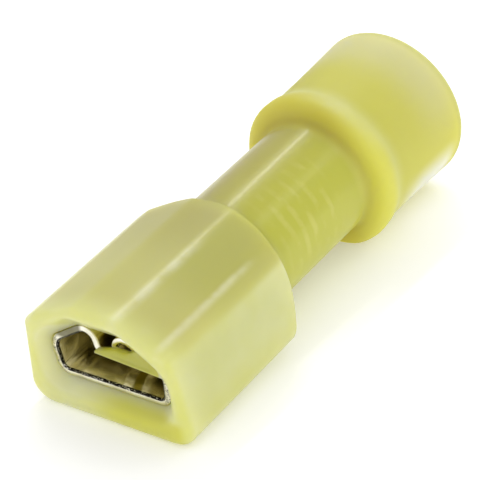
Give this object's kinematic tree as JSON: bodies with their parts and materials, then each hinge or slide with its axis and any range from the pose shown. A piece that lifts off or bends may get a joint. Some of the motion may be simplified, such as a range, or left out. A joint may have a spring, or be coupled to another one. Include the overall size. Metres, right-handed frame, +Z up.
{
  "type": "female spade terminal",
  "caption": "Fully insulated push-on spade receptacle in a translucent nylon housing, with a crimp barrel and a belled wire entry.",
  "frame": {"origin": "on the wire barrel's axis, in the plane of the tab mouth's front rim", "axes": "+Y from the tab mouth to the wire bell along the barrel axis, +Z up from the receptacle's floor towards its rolled sides, +X to the right seen from behind the mouth"},
  "size_m": [0.0098, 0.026, 0.009],
  "materials": {
    "nylon": "translucent yellow nylon, semi-gloss as moulded",
    "tinned_brass": "bright tin plate over brass"
  },
  "bodies": {
    "root": {"housing": "nylon", "terminal": "tinned_brass"}
  },
  "joints": []
}
